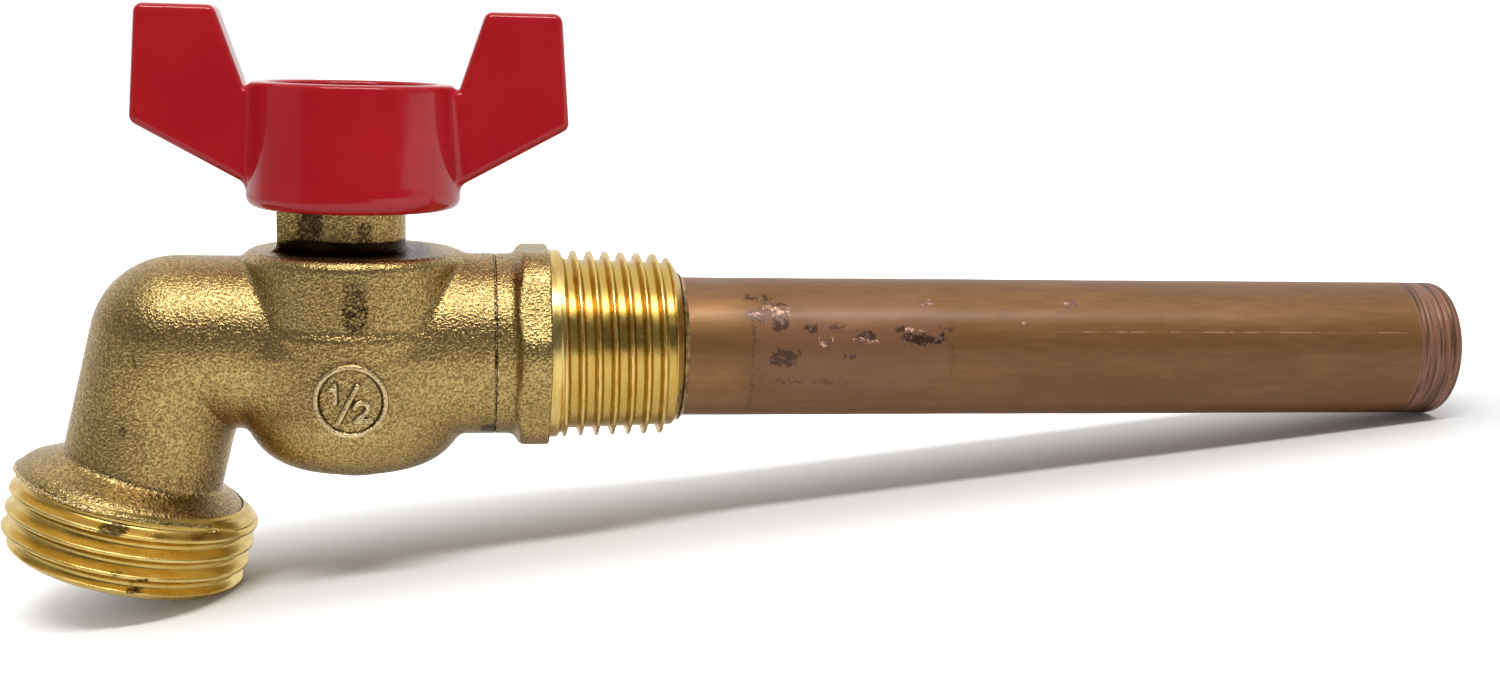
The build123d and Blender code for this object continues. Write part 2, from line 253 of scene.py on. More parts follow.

# Marks on the tube: station, degrees from the top towards the front, half length, half height,
# strength and kind. The dark flakes and the rubbed patch are the tube's own; the glinting marks are pinkish
# copper with painted glints in them, and the dark flakes' lighter rims are painted glints too.
TUBE_MARKS = (
    (55.2, 78, 11.3, 50, 0.4, "rubbed"), (45.6, 53, 2.7, 5.5, 0.9, "glinting"),
    (43.5, 36, 0.5, 5.5, 0.8, "dark"), (44.8, 38, 1.2, 3.0, 0.8, "dark"),
    (46.6, 44, 1.5, 2.0, 0.8, "dark"), (45.0, 58, 0.7, 2.5, 0.7, "dark"), (46.9, 62, 0.9, 6, 0.8, "dark"),
    (47.4, 90, 1.8, 6.5, 0.75, "dark"), (43.9, 100, 0.12, 46, 0.6, "dark"),
    (50.5, 66, 0.9, 3, 0.8, "dark"), (53.3, 65, 1.0, 2, 0.7, "dark"), (52.2, 78, 0.7, 5, 1.0, "glinting"),
    (56.6, 77, 1.6, 3, 0.9, "glinting"), (56.6, 72, 1.2, 3, 0.8, "dark"),
    (54.8, 89, 0.8, 1.6, 0.8, "dark"), (60.9, 66, 0.8, 3, 0.8, "dark"),
    (63.6, 74, 2.7, 4.6, 0.95, "dark"), (62.3, 69, 1.3, 1.6, 0.9, "glinting"),
    (66.1, 65, 0.9, 1.6, 0.7, "dark"), (64.1, 42, 1.1, 4, 1.0, "glinting"),
    (50.5, 111, 4.6, 1.4, 0.5, "dark"), (66.8, 92, 0.1, 36, 0.3, "dark"),
    (81.3, 42, 0.9, 3.5, 1.0, "glinting"), (75.0, 62, 0.5, 1.6, 0.8, "glinting"))

# A long pale broken line on the tube: station, degrees, half length and half height
PALE_LINE = (101.0, 68.0, 25.0, 0.55)

# Rings scored at the tube's cut end: distance from the end and half width, all equally deep
TUBE_RINGS = ((4.75, 0.07), (4.1, 0.07), (3.56, 0.07), (2.68, 0.14), (1.9, 0.06), (1.2, 0.07))
ring_depth = 0.07
scored_length = 5.9
row_gap = 0.1
scored_edge = tube_end - 5.4
scored_fade = 0.5

# Torn bits at the collar's cut edge: degrees round the outlet, how far each strays, and its size
torn_start = -164
torn_end = -24
torn_step = 2.4
torn_turn = 1.0
torn_drift = 0.16
torn_sink = 0.02
smallest_bit = 0.06
largest_bit = 0.16

# Camera: its place in millimetres, its directions, its lens and its shift
camera_place = Vector((-12.283, -206.992, 35.025))
camera_right = Vector((0.9894, -0.1432, 0.0259))
camera_forward = Vector((0.1455, 0.9697, -0.1964))
camera_lens = 44.106
camera_shift = (0.0276, 0.0445)

# Table, in metres: its edges, and how soon it fades to white beside the part
table_front = -0.32
table_far = 3.0
fade_width = 0.049
least_white = 0.02

# Light: how bright the surround is in front, at the sides, behind and overhead
front_level = 0.105
side_level = 0.32
back_level = 0.6
top_level = 0.8

# Where these parts of the surround start and end, round from straight behind and up from level
back_end = radians(50)
side_start = radians(75)
side_end = radians(118)
front_start = radians(128)
level_end = radians(52)
top_start = radians(60)

# How much of the table's own light metal reflects: with the lamp's light on it, that makes white
mirrored_share = 0.25

# Lamp, in metres and watts
lamp_width = 0.85
lamp_height = 0.12
lamp_distance = 0.9
lamp_elevation = radians(64)
lamp_power = 6.0

# Castings: the box that each one's grid fills, and the side of its cells
BODY_BOX = ((-40, -15, -26), (seam_x + 0.6, 15, 19))
MARK_BOX = ((-5.3, -13.6, -9.2), (5.1, -9.8, 1.3))
ADAPTER_BOX = ((7.5, -13, -13), (hexagon_end + 0.6, 13, 13))
HANDLE_BOX = ((-24.2, -12.5, 15), (24.2, 12.5, 37.6))
casting_cell = 0.3
handle_cell = 0.28
mark_cell = 0.12

# How points settle on a casting's surface, and how far apart its slope is measured
settle_reach = 0.02
longest_step = 0.15
least_slope = 0.2
normal_reach = 0.12

# Turned pieces: points round a turn, and rows along the axis
thread_turns = 240
hose_rows = 120
pipe_rows = 180
tube_turns = 160
tube_rows = 90
scored_rows = 70

# How far off a casting its material looks for corners and for edges, and off the size mark
hollow_reach = 1.2
edge_reach = 0.5
mark_reach = 0.4
# This gain deepens the painted shade at the foot of the mark's strokes and the painted highlight along their
# crests
mark_gain = 1.8


def ramp(value, start, width):
    """Rises from 0 at the start to 1 past the width."""
    return np.clip((value - start) / width, 0, 1)


def rounded_join(a, b, radius):
    """Two distances joined, with a round fillet in the corner between them."""
    over_a = np.maximum(radius - a, 0)
    over_b = np.maximum(radius - b, 0)
    return np.maximum(radius, np.minimum(a, b)) - np.hypot(over_a, over_b)


def rounded_meet(a, b, radius):
    """What two shapes share, with a round edge."""
    return -rounded_join(-a, -b, radius)


def rod(across, up, along, radius, start, end):
    """Distance to a round bar, from two offsets from its axis and a station."""
    return np.maximum(np.hypot(across, up) - radius, np.maximum(start - along, along - end))


def globe(p, centre, radius):
    """Distance to a round ball."""
    return np.linalg.norm(p - np.array(centre), axis=1) - radius


def squared_distance(u, v, start, end):
    """Squared distance to the straight line between two points of an outline."""
    du, dv = end[0] - start[0], end[1] - start[1]
    share = np.clip(((u - start[0]) * du + (v - start[1]) * dv) / (du * du + dv * dv), 0, 1)
    return (u - start[0] - share * du) ** 2 + (v - start[1] - share * dv) ** 2


def outline_distance(u, v, outline, closed=True):
    """Signed distance to an outline of (u, v) points. The line that closes an open one is no surface."""
    points = np.array(outline, float)
    nearest = np.full(u.shape, 1e18)
    inside = np.zeros(u.shape, bool)
    count = len(points)
    for index in range(count):
        start, end = points[index], points[(index + 1) % count]
        if closed or index < count - 1:
            nearest = np.minimum(nearest, squared_distance(u, v, start, end))
        (u0, v0), (u1, v1) = start, end
        if v0 != v1:
            crosses = (v0 <= v) != (v1 <= v)
            inside ^= crosses & (u < u0 + (v - v0) * (u1 - u0) / (v1 - v0))
    return np.where(inside, -1, 1) * np.sqrt(nearest)


def arc(centre, radius, start, end, steps):
    """Points along an arc, with its angles in degrees from u towards v."""
    angles = np.radians(np.linspace(start, end, steps))
    return [(centre[0] + radius * cos(t), centre[1] + radius * sin(t)) for t in angles]


def down_the_outlet(p):
    """Points in the outlet's frame: across, sideways and down from the elbow."""
    x, z = p[:, 0] + elbow_reach, p[:, 2]
    across = x * cos(outlet_tilt) - z * sin(outlet_tilt)
    down = -x * sin(outlet_tilt) - z * cos(outlet_tilt)
    return across, p[:, 1], down


def from_the_outlet(across, side, down):
    """The place about the ball of points given in the outlet's frame."""
    x = across * cos(outlet_tilt) - down * sin(outlet_tilt) - elbow_reach
    z = -across * sin(outlet_tilt) - down * cos(outlet_tilt)
    return np.stack([x, side + 0 * x, z], axis=-1).reshape(-1, 3)


def barrel_outline():
    """Half the barrel's section: crowned floor, rounded corner, faint ridge and boss."""
    outer = barrel_radius + ridge_step
    crown_edge = outer - floor_rounding
    floor_edge = bowl_bottom + floor_crown
    crown = [(crown_edge * t, bowl_bottom + floor_crown * t * t) for t in np.linspace(0, 1, 6)]
    corner = arc((crown_edge, floor_edge + floor_rounding), floor_rounding, -90, 0, 14)
    ridge = [
        (barrel_radius + ridge_step * (1 + cos(pi * t)) / 2,
         ridge_height + ridge_half_height * (2 * t - 1)) for t in np.linspace(0, 1, 8)]
    edge = arc((barrel_radius - boss_rounding, boss_top - boss_rounding), boss_rounding, 0, 90, 8)
    return crown + corner[1:] + ridge + edge + [(0, boss_top)]


def collar_swell_at(station):
    """The cast collar's radius past its corner, where draft widens it."""
    corner = collar_start + collar_slope * (collar_corner_radius - leg_radius)
    return collar_corner_radius + collar_draft * (station - corner)


def collar_distance(across, side, down):
    """Distance to the collar: a flat cone, then draft. It is cast a little off the thread's axis."""
    radial = np.hypot(across + collar_shift, side)
    station = down - collar_lean * across
    cone = (collar_start + collar_slope * (radial - leg_radius) - station) / hypot(1, collar_slope)
    draft = (radial - collar_swell_at(station)) / hypot(1, collar_draft)
    collar = rounded_meet(cone, draft, collar_rounding)
    shoulder = rounded_meet(np.hypot(across, side) - hose_radius, shoulder_start - station, casting_edge)
    return np.maximum(rounded_join(collar, shoulder, casting_edge), down - hose_end + hidden_end)


BARREL_OUTLINE = barrel_outline()


def run_out_share(cosine):
    """How much a place lies on the right, where the thread runs out into the collar."""
    share = ramp(cosine, run_out_cosine, run_out_fade)
    return share * share * (3 - 2 * share)


def spout_distance(p):
    """Distance to the short tube, the ball-shaped corner, the bend and the leg."""
    inset = spout_radius - leg_radius
    back = (inset + spout_lift * sin(outlet_tilt)) / cos(outlet_tilt)
    corner_x = back - elbow_reach
    station = -back * sin(outlet_tilt) - spout_lift * cos(outlet_tilt)
    x, y, z = p[:, 0], p[:, 1], p[:, 2] - spout_lift
    tube = rod(y, z, x, spout_radius, corner_x, 0)
    corner = globe(p, (corner_x, 0, spout_lift), spout_radius)
    across, side, down = down_the_outlet(p)
    share = ramp(down, station, leg_blend - station)
    swell = inset * (1 + np.cos(pi * share)) / 2
    leg = np.hypot(across - swell, side) - leg_radius - swell
    leg = np.maximum(leg, np.maximum(station - down, down - hose_run_in))
    leg = rounded_join(leg, collar_distance(across, side, down), collar_fillet)
    cut = np.hypot(across, side) - hose_surface(np.arctan2(side, across), down) + sleeve_step
    leg = np.maximum(leg, cut)
    return np.minimum.reduce([tube, corner, leg])


def neck_distance(p):
    """Distance to the neck that holds the stem's seals, with the stop's lug at its side."""
    x, y, z = p.T
    neck = rod(x, y, z, neck_radius, neck_root, neck_top)
    lug = np.maximum(np.abs(y) - lug_half_width, np.maximum(-lug_tip - x, x))
    lug = rounded_meet(lug, np.maximum(neck_root - z, z - lug_top), casting_edge)
    return rounded_join(neck, lug, neck_fillet)


def waterway_distance(p):
    """Distance to the space drilled and turned out of the body."""
    x, y, z = p.T
    passage = rod(y, z, x, passage_radius, -elbow_reach, 0)
    elbow = globe(p, (-elbow_reach, 0, 0), passage_radius)
    across, side, down = down_the_outlet(p)
    cone_start = hose_end - mouth_depth - (mouth_radius - passage_radius)
    drop = outline_distance(np.hypot(across, side), down, [
        (0, 0), (passage_radius, 0), (passage_radius, cone_start),
        (mouth_radius, hose_end - mouth_depth), (mouth_radius, hose_end + past), (0, hose_end + past)],
        closed=False)
    chamber = rod(y, z, x, chamber_radius, -seat_back, seam_x + past)
    joint = rod(y, z, x, joint_radius, joint_start, seam_x + past)
    stem_way = outline_distance(np.hypot(x, y), z, [
        (0, 0), (shoulder_bore_radius, 0), (shoulder_bore_radius, ceiling), (stem_bore_radius, ceiling),
        (stem_bore_radius, packing_floor), (packing_radius, packing_floor), (packing_radius, neck_top + past),
        (0, neck_top + past)], closed=False)
    return np.minimum.reduce([passage, elbow, drop, chamber, joint, stem_way])


def body_distance(p):
    """Distance to the casting. Its creases are sharp, but soft under the middle."""
    x, y, z = p.T
    barrel = outline_distance(np.hypot(x, y), z, BARREL_OUTLINE, closed=False)
    softness = ramp(-z, -soft_below, soft_below) * ramp(z, soft_above, soft_fade)
    crease = sharp_crease + (soft_crease - sharp_crease) * softness
    inlet = rod(y, z - inlet_lift, x, inlet_neck_radius, 0, seam_x)
    body = rounded_join(barrel, inlet, crease)
    body = rounded_join(body, spout_distance(p), crease)
    body = rounded_join(body, neck_distance(p), neck_fillet)
    return np.maximum(body, -waterway_distance(p))


def mark_distance(p):
    """Distance to the size mark: a raised ring and strokes on a skin that sinks in at its rim."""
    x, z = p[:, 0], p[:, 2]
    from_middle = np.hypot(x - mark_x, z - mark_z)
    strokes = np.abs(from_middle - mark_radius)
    for stroke in MARK_STROKES:
        for start, end in zip(stroke, stroke[1:]):
            strokes = np.minimum(strokes, np.sqrt(squared_distance(x, z, start, end)))
    skin = body_distance(p)
    relief = rounded_meet(strokes - mark_half_width, skin - mark_height, mark_edge)
    sunk = mark_sink * ramp(from_middle, mark_sink_start, mark_sink_width)
    relief = rounded_join(relief, skin - mark_pad_height + sunk, mark_pad_fillet)
    return np.maximum(np.maximum(relief, -skin - mark_pad_depth), from_middle - mark_pad_radius)


def adapter_distance(p):
    """Distance to the adapter's cast part: its nose, its neck and the rounded hexagon."""
    x, y, z = p.T
    up = z - inlet_lift
    radial = np.hypot(y, up)
    nose = rod(y, z, x, chamber_radius - nose_gap, seat_back, seam_x + hidden_end)
    screw = rod(y, z, x, joint_radius - nose_gap, screw_start, seam_x + hidden_end)
    neck = rod(y, up, x, inlet_neck_radius, seam_x, hexagon_end)
    hexagon = np.full(radial.shape, -1e9)
    for step in range(6):
        angle = hexagon_turn + step * pi / 3
        facet = y * sin(angle) + up * cos(angle) - hexagon_across_flats / 2
        hexagon = rounded_meet(hexagon, facet, hexagon_rounding)
    bevel = (radial - inlet_neck_radius - hexagon_bevel * (x - hexagon_start)) / hypot(1, hexagon_bevel)
    hexagon = rounded_meet(hexagon, x - hexagon_end, hexagon_face_edge)
    hexagon = rounded_meet(hexagon, bevel, hexagon_bevel_edge)
    solid = rounded_join(neck, hexagon, hexagon_fillet)
    solid = np.minimum.reduce([solid, nose, screw])
    bore = rod(y, z, x, passage_radius, seat_back - past, hexagon_end + past)
    return np.maximum(solid, -bore)


def wing_outline():
    """The wing's front view: upswept, with its root inside the hub."""
    root = hub_rim_radius - wing_root_depth
    low = rim_z - wing_low_drop
    slope = (wing_low_drop - wing_tip_drop) / (wing_tip - hub_skirt_radius)
    valley = rim_z - rim_rounding
    top = rim_z + wing_height
    return [(root, low - slope * (hub_skirt_radius - root)), (wing_tip, rim_z - wing_tip_drop),
            (wing_outer_corner, top), (wing_top_corner, top), (wing_top_start, valley), (root, valley)]


def hub_outline():
    """Half the hub's section with its rounded rim, skirt shoulder and bottom edge."""
    foot = (hub_skirt_radius - hub_low_rounding, hub_low + hub_low_rounding)
    rim = (hub_rim_radius - rim_rounding, rim_z - rim_rounding)
    skirt_top = hub_low + skirt_height
    return [(0, hub_low), *arc(foot, hub_low_rounding, -90, 0, 8), (hub_skirt_radius, skirt_top),
            (hub_skirt_radius - skirt_step, skirt_top + skirt_step_height),
            (hub_rim_radius, rim_z - rim_rounding), *arc(rim, rim_rounding, 5, 90, 7), (0, rim_z)]


def shrunk(outline, inset):
    """An outline that runs anticlockwise, moved inwards by an even distance."""
    points = np.array(outline, float)
    moved = []
    for before, here, after in zip(np.roll(points, 1, axis=0), points, np.roll(points, -1, axis=0)):
        first, second = (np.array((-run[1], run[0])) / hypot(*run) for run in (here - before, after - here))
        moved.append(here + inset * (first + second) / (1 + first @ second))
    return moved


WING_FACE = shrunk(wing_outline(), wing_corner)
HUB_OUTLINE = hub_outline()


def handle_distance(p):
    """Distance to the hollow winged handle."""
    x, y, z = p.T
    radial = np.hypot(x, y)
    hub = outline_distance(radial, z, HUB_OUTLINE, closed=False)
    face = outline_distance(np.abs(x), z, WING_FACE) - wing_corner
    wing = rounded_meet(face, np.abs(y) - wing_half_thickness, wing_edge)
    solid = rounded_join(hub, wing, wing_fillet)
    cup = outline_distance(radial, z, [
        (0, cup_floor), (cup_radius, cup_floor), (cup_radius, rim_z + past), (0, rim_z + past)],
        closed=False)
    solid = rounded_meet(solid, -cup, cup_rounding)
    solid = np.maximum(solid, -globe(p, NICK, nick_radius))
    cavity = rod(x, y, z, hub_bore_radius, hub_low - past, web_low)
    window = np.maximum(x - window_edge, y - window_edge)
    window = np.maximum(window, rod(x, y, z, window_reach, hub_low - past, web_low))
    solid = rounded_meet(solid, -np.minimum(cavity, window), hub_cut_edge)
    way = rod(x, y, z, stem_bore_radius, web_low - past, cup_floor + past)
    way = np.maximum(way, np.abs(y) - stem_flats)
    return np.maximum(solid, -way)


def lattice(*steps):
    """Every place on a grid with these steps along its axes."""
    return np.stack(np.meshgrid(*steps, indexing="ij"), -1).reshape(-1, len(steps))


def surface_net(distance, low, high, cell):
    """Corners and quads on a distance's zero level, from a grid near the surface only."""
    # A block of cells stays if the surface comes this many blocks near its middle
    block = 4
    near_enough = 1.6
    size = np.ceil((high - low) / cell / block).astype(int) * block
    coarse = lattice(*[np.arange(0, n, block) for n in size])
    middle = low + (coarse + block / 2) * cell
    near = np.abs(distance(middle)) < block * cell * near_enough
    offsets = lattice(*[np.arange(block)] * 3)
    cells = (coarse[near][:, None] + offsets[None]).reshape(-1, 3)
    stride = np.array([(size[1] + 2) * (size[2] + 2), size[2] + 2, 1])
    corners = lattice(*[np.arange(2)] * 3)
    cell_keys = cells @ stride
    corner_keys = cell_keys[:, None] + (corners @ stride)[None]
    keys, where = np.unique(corner_keys.ravel(), return_inverse=True)
    grid = np.stack([keys // stride[0], keys % stride[0] // stride[1], keys % stride[1]], -1)
    value = distance(low + grid * cell)
    value[value == 0] = 1e-9
    value = value[where].reshape(-1, 8)
    used = (value < 0).any(1) & (value > 0).any(1)
    cells, cell_keys, value = cells[used], cell_keys[used], value[used]
    total = np.zeros((len(cells), 3))
    count = np.zeros(len(cells))
    for a in range(8):
        for b in range(a + 1, 8):
            if np.abs(corners[a] - corners[b]).sum() != 1:
                continue
            crossed = (value[:, a] < 0) != (value[:, b] < 0)
            share = value[:, a] / np.where(crossed, value[:, a] - value[:, b], 1)
            point = corners[a] + share[:, None] * (corners[b] - corners[a])
            total += point * crossed[:, None]
            count += crossed
    vertices = low + (cells + total / count[:, None]) * cell
    order = np.argsort(cell_keys)
    sorted_keys = cell_keys[order]
    quads = []
    for axis in range(3):
        end = int(np.flatnonzero((corners == np.eye(3, dtype=int)[axis]).all(1))[0])
        crossed = (value[:, 0] < 0) != (value[:, end] < 0)
        u, w = stride[(axis + 1) % 3], stride[(axis + 2) % 3]
        base = cell_keys[crossed]
        ring = np.stack([base, base - u, base - u - w, base - w], -1)
        found = np.minimum(np.searchsorted(sorted_keys, ring), len(sorted_keys) - 1)
        whole = (sorted_keys[found] == ring).all(1)
        quad = order[found[whole]]
        flip = value[crossed, 0][whole] > 0
        quad[flip] = quad[flip][:, ::-1]
        quads.append(quad)
    return vertices, np.concatenate(quads)


def slope_of(distance, points, reach):
    """The distance's gradient at each point."""
    steps = np.eye(3) * reach
    return np.stack([distance(points + s) - distance(points - s) for s in steps], -1) / (2 * reach)


def settle(distance, vertices, rounds=3):
    """Moves vertices along the gradient onto the surface."""
    for _ in range(rounds):
        slope = slope_of(distance, vertices, settle_reach)
        step = distance(vertices) / np.maximum((slope ** 2).sum(1), least_slope)
        vertices = vertices - np.clip(step, -longest_step, longest_step)[:, None] * slope
    return vertices


def add_object(name, data):
    """A new object in the scene."""
    added = bpy.data.objects.new(name, data)
    bpy.context.scene.collection.objects.link(added)
    return added


def mesh_piece(name, vertices, faces, material, normals=None, smooth=True):
    """A mesh object from points in millimetres about the ball."""
    mesh = bpy.data.meshes.new(name)
    placed = (np.asarray(vertices) + BALL) * MM
    mesh.from_pydata(placed.tolist(), [], np.array(faces).tolist())
    mesh.update()
    mesh.polygons.foreach_set("use_smooth", [smooth] * len(mesh.polygons))
    if normals is not None:
        mesh.normals_split_custom_set_from_vertices(normals.tolist())
    mesh.materials.append(material)
    return add_object(name, mesh)


def casting(name, distance, box, cell, material, hollow=hollow_reach, edge=edge_reach, gain=1.0):
    """A piece whose mesh and normals come from its distance."""
    low, high = np.array(box, float)
    vertices, quads = surface_net(distance, low, high, cell)
    vertices = settle(distance, vertices)
    normals = slope_of(distance, vertices, normal_reach)
    normals /= np.maximum(np.linalg.norm(normals, axis=1), 1e-9)[:, None]
    piece = mesh_piece(name, vertices, quads, material, normals)
    # How hemmed in each point is; the cast brass darkens by it as painted shade
    add_measure(piece, "crevice", gain * (1 - distance(vertices + normals * hollow) / hollow))
    add_measure(piece, "edge", gain * (1 + distance(vertices - normals * edge) / edge))
    return piece


def add_measure(piece, name, values):
    """Stores a number at each point of a piece, for its material."""
    attribute = piece.data.attributes.new(name, "FLOAT", "POINT")
    attribute.data.foreach_set("value", np.clip(values, 0, 1).astype(np.float32))


def below_the_crest(turns, flat, root, depth):
    """How deep a thread is cut, by the turns from a crest: flat crest and round root."""
    fall = ramp(np.abs(turns - np.round(turns)) * 2, flat, root - flat)
    return depth * np.sin(fall * pi / 2)


def lathe_faces(rows, turns):
    """Quads between the rows of a lathe grid."""
    row, turn = lattice(np.arange(rows - 1), np.arange(turns)).T
    here = row * turns + turn
    beside = row * turns + (turn + 1) % turns
    return np.stack([here, beside, beside + turns, here + turns], -1)


def hose_surface(angle, station):
    """The hose thread's radius, from its run-out in the collar to the chamfered end."""
    start = hose_run_in + run_out_length * run_out_share(np.cos(angle))
    depth = hose_depth * ramp(station, start, thread_fade)
    turns = (station - hose_crest) / hose_pitch + angle / (2 * pi)
    cut = below_the_crest(turns, hose_flat, hose_root, depth)
    chamfer = np.maximum(station - (hose_end - hose_chamfer), 0)
    return np.minimum(hose_radius - cut, hose_radius - chamfer)


def hose_radius_at(angle, station):
    """The threaded sleeve's outside. It stays just under the skin of the cast collar."""
    leaning = station - collar_lean * hose_radius * np.cos(angle)
    skin = collar_swell_at(leaning) - collar_shift * np.cos(angle) - sleeve_step
    flank = np.maximum(run_out_radius + run_out_slope * (station - run_out_start), skin + 2 * sleeve_step)
    rise = ramp(station, run_out_start, run_out_rise)
    skin = skin + run_out_share(np.cos(angle)) * rise * (flank - skin)
    skin = np.where(leaning < shoulder_start + casting_edge, skin, hose_radius)
    return np.minimum(hose_surface(angle, station), skin)


def tube_radius_at(angle, station):
    """The copper tube's outside, slightly uneven, with its scored rings and lip."""
    waves = np.sin(2 * angle + station * slow_wave) * np.sin(station * quick_wave + 3 * angle)
    radius = tube_radius - tube_sink + tube_unevenness * waves
    for back, half_width in TUBE_RINGS:
        radius = radius - ring_depth * np.exp(-((station - (tube_end - back)) / half_width) ** 2)
    in_lip = ramp(station, tube_end - tube_lip_length, tube_lip_length)
    return radius - tube_lip * in_lip ** 2


def tube_stations():
    """Stations along the tube, close together at its cut end."""
    scored = tube_end - scored_length
    plain = np.linspace(socket_stop, scored - row_gap, tube_rows)
    return np.concatenate([plain, np.linspace(scored, tube_end, scored_rows)])


def pipe_radius_at(angle, station):
    """The tapered pipe thread's radius, from the hexagon to the chamfered end."""
    crest = pipe_thread_radius - (station - hexagon_end) * pipe_taper
    depth = pipe_depth * ramp(station, plain_band_end, thread_fade)
    turns = (station - pipe_crest) / pipe_pitch - angle / (2 * pi)
    cut = below_the_crest(turns, pipe_flat, pipe_root, depth)
    chamfer = pipe_chamfer_slope * np.maximum(station - pipe_chamfer_start, 0)
    return np.minimum(crest - cut, crest - chamfer)


def along_x(across, up, station):
    """Places of points round the tube's axis."""
    return np.stack([station, across, up], axis=-1)


def along_the_pipe(across, up, station):
    """Places of points round the adapter's thread, which sits a little above the bore's axis."""
    share = ramp(np.hypot(across, up), lift_start, lift_width)
    return along_x(across, up + inlet_lift * share, station)


def lathe_piece(name, radius, stations, turns, place, inner, material):
    """A turned sleeve: its outside, then plain rings (radius, station) that close its end and bore."""
    angles = np.arange(turns) * 2 * pi / turns
    angle, station = np.meshgrid(angles, np.concatenate([stations, [ring[1] for ring in inner]]))
    reach = np.concatenate([radius(angle[:len(stations)], station[:len(stations)]),
                            np.repeat([[ring[0]] for ring in inner], turns, axis=1)])
    points = place(reach * np.cos(angle), reach * np.sin(angle), station)
    piece = mesh_piece(name, points.reshape(-1, 3), lathe_faces(len(angle), turns), material)
    add_measure(piece, "depth", (reach[0].max() - reach).ravel())
    return piece


def torn_edge(name, material):
    """Small torn bits along the edge where the thread was cut into the collar."""
    random = np.random.default_rng(7)
    corners = np.concatenate([np.eye(3), -np.eye(3)])
    sides = [(0, 1, 2), (1, 3, 2), (3, 4, 2), (4, 0, 2), (1, 0, 5), (3, 1, 5), (4, 3, 5), (0, 4, 5)]
    vertices, faces = [], []
    for degrees in np.arange(torn_start, torn_end, torn_step):
        angle = radians(degrees + random.uniform(-torn_turn, torn_turn))
        station = shoulder_start + collar_lean * hose_radius * cos(angle) + random.uniform(0.0, torn_drift)
        reach = hose_surface(angle, station) - torn_sink
        turn = Matrix.Rotation(random.uniform(0, pi), 3, Vector(random.normal(size=3)))
        bit = corners @ np.array(turn) * random.uniform(smallest_bit, largest_bit, 3)
        middle = from_the_outlet(reach * cos(angle), reach * sin(angle), station)
        faces += [tuple(len(vertices) + i for i in side) for side in sides]
        vertices += (middle + bit).tolist()
    return mesh_piece(name, vertices, faces, material, smooth=False)


class NodeTree:
    """The nodes of a material or of the surround, with short calls for them."""

    def __init__(self, owner):
        owner.use_nodes = True
        self.tree = owner.node_tree

    def feed(self, socket, value):
        """Links a socket to another node's output, or sets its number or colour."""
        if isinstance(value, bpy.types.NodeSocket):
            self.tree.links.new(value, socket)
        elif isinstance(value, tuple) and len(value) == 3 and len(socket.default_value) == 4:
            socket.default_value = (*value, 1)
        else:
            socket.default_value = value

    def node(self, kind, inputs, output=0, **settings):
        """Adds a node with its settings and inputs, and gives one of its outputs."""
        node = self.tree.nodes.new(kind)
        for name, value in settings.items():
            setattr(node, name, value)
        for name, value in inputs.items():
            self.feed(node.inputs[name], value)
        return node.outputs[output]

    def maths(self, operation, *values):
        """One sum of the Math node."""
        return self.node("ShaderNodeMath", dict(enumerate(values)), operation=operation)

    def vector(self, operation, *values):
        """One sum of the Vector Math node."""
        return self.node("ShaderNodeVectorMath", dict(enumerate(values)), operation=operation)

    def split(self, vector):
        """A vector's three parts."""
        parts = self.tree.nodes.new("ShaderNodeSeparateXYZ")
        self.tree.links.new(vector, parts.inputs[0])
        return parts.outputs

    def between(self, value, low, high, to_low=0.0, to_high=1.0):
        """A smooth step as a value goes from low to high."""
        return self.node("ShaderNodeMapRange", {
            "Value": value, "From Min": low, "From Max": high, "To Min": to_low, "To Max": to_high},
            interpolation_type="SMOOTHSTEP")

    def mix(self, share, first, second):
        """A number between two others."""
        return self.node("ShaderNodeMix", {0: share, 2: first, 3: second})

    def rays(self):
        """Whether the camera sees a place, and whether metal or glass mirrors it."""
        kinds = self.tree.nodes.new("ShaderNodeLightPath").outputs
        mirrored = self.maths("MAXIMUM", kinds["Is Glossy Ray"], kinds["Is Transmission Ray"])
        return kinds["Is Camera Ray"], mirrored


